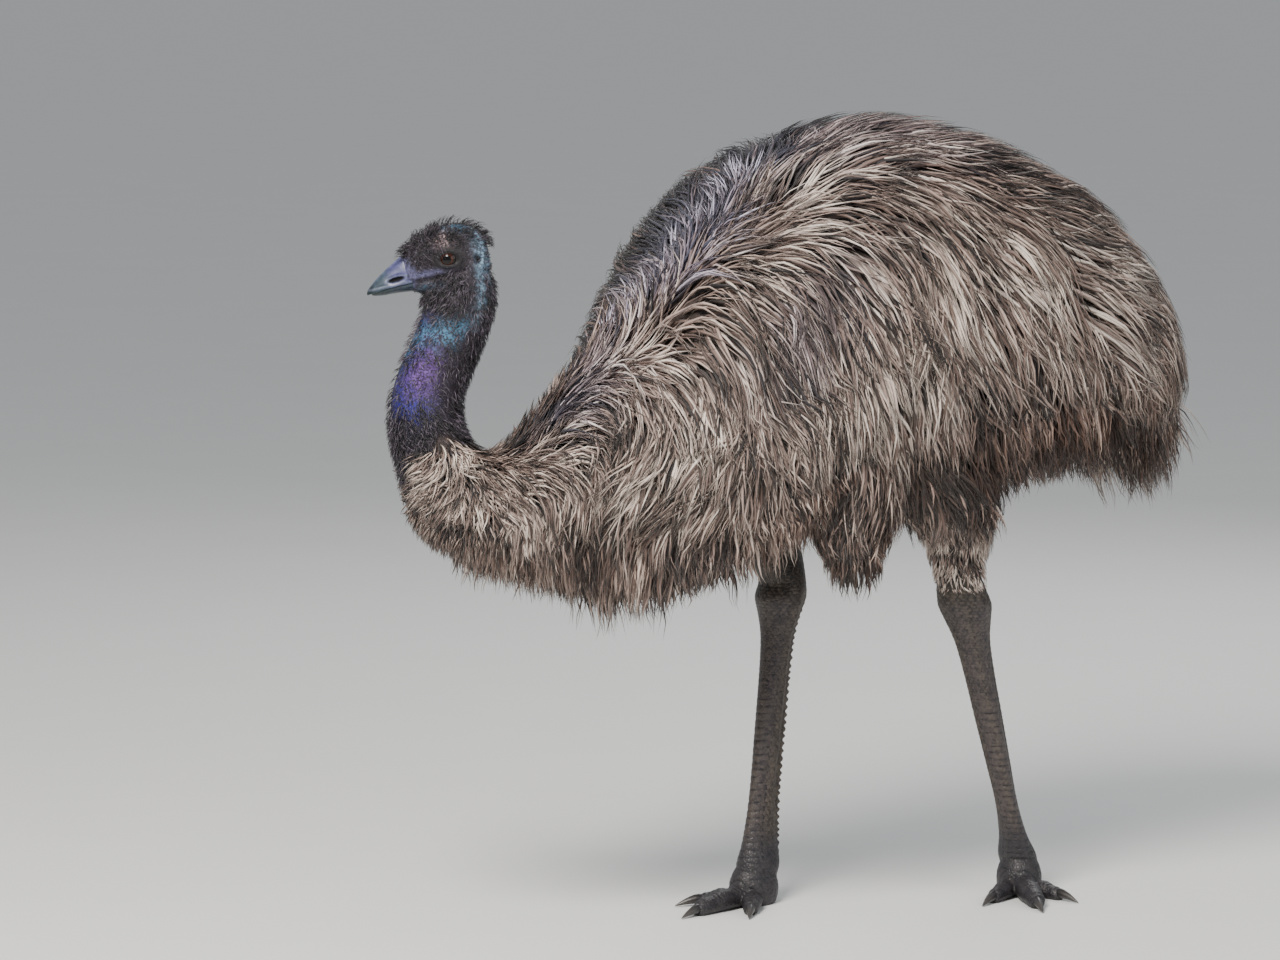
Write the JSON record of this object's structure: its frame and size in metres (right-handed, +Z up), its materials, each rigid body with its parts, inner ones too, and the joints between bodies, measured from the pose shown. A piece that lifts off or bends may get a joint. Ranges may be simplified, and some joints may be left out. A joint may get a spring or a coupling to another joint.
{
  "type": "emu",
  "caption": "Life-size standing emu, a tall flightless bird with shaggy drooping plumage, a lowered blue neck and long bare legs, as a still museum model.",
  "frame": {"origin": "on the floor under the middle of the bird's box", "axes": "+Z up; the bird faces -Y and its left side is +X"},
  "size_m": [0.4596, 1.2456, 1.0427],
  "materials": {
    "skin_head": "matte, dark bristly skin of the face",
    "skin_neck": "matte, violet-blue skin under short dark bristles",
    "feathers_neck": "matte, loose brown plumes with pale edges",
    "feathers_body": "matte, loose grey-brown plumes with dark tips",
    "feathers_tail": "matte, loose brown plumes with dark tips",
    "feathers_thigh": "matte, short pale plumes",
    "leg_scales": "matte scaled skin",
    "claws": "smooth dark horn",
    "bill": "smooth horn with a dull sheen",
    "eye": "wet, brown iris and dark pupil"
  },
  "bodies": {
    "root": {"head": "skin_head", "bill_upper": "bill", "bill_lower": "bill", "eye_left": "eye", "eye_right": "eye", "neck_upper": "skin_neck", "neck_bend": "feathers_neck", "neck_base": "feathers_neck", "torso": "feathers_body", "tail": "feathers_tail", "thigh_left": "feathers_thigh", "shank_left": "leg_scales", "foot_left": "leg_scales", "toe_inner_left": "leg_scales", "claw_inner_left": "claws", "toe_middle_left": "leg_scales", "claw_middle_left": "claws", "toe_outer_left": "leg_scales", "claw_outer_left": "claws", "thigh_right": "feathers_thigh", "shank_right": "leg_scales", "foot_right": "leg_scales", "toe_inner_right": "leg_scales", "claw_inner_right": "claws", "toe_middle_right": "leg_scales", "claw_middle_right": "claws", "toe_outer_right": "leg_scales", "claw_outer_right": "claws"}
  },
  "joints": []
}
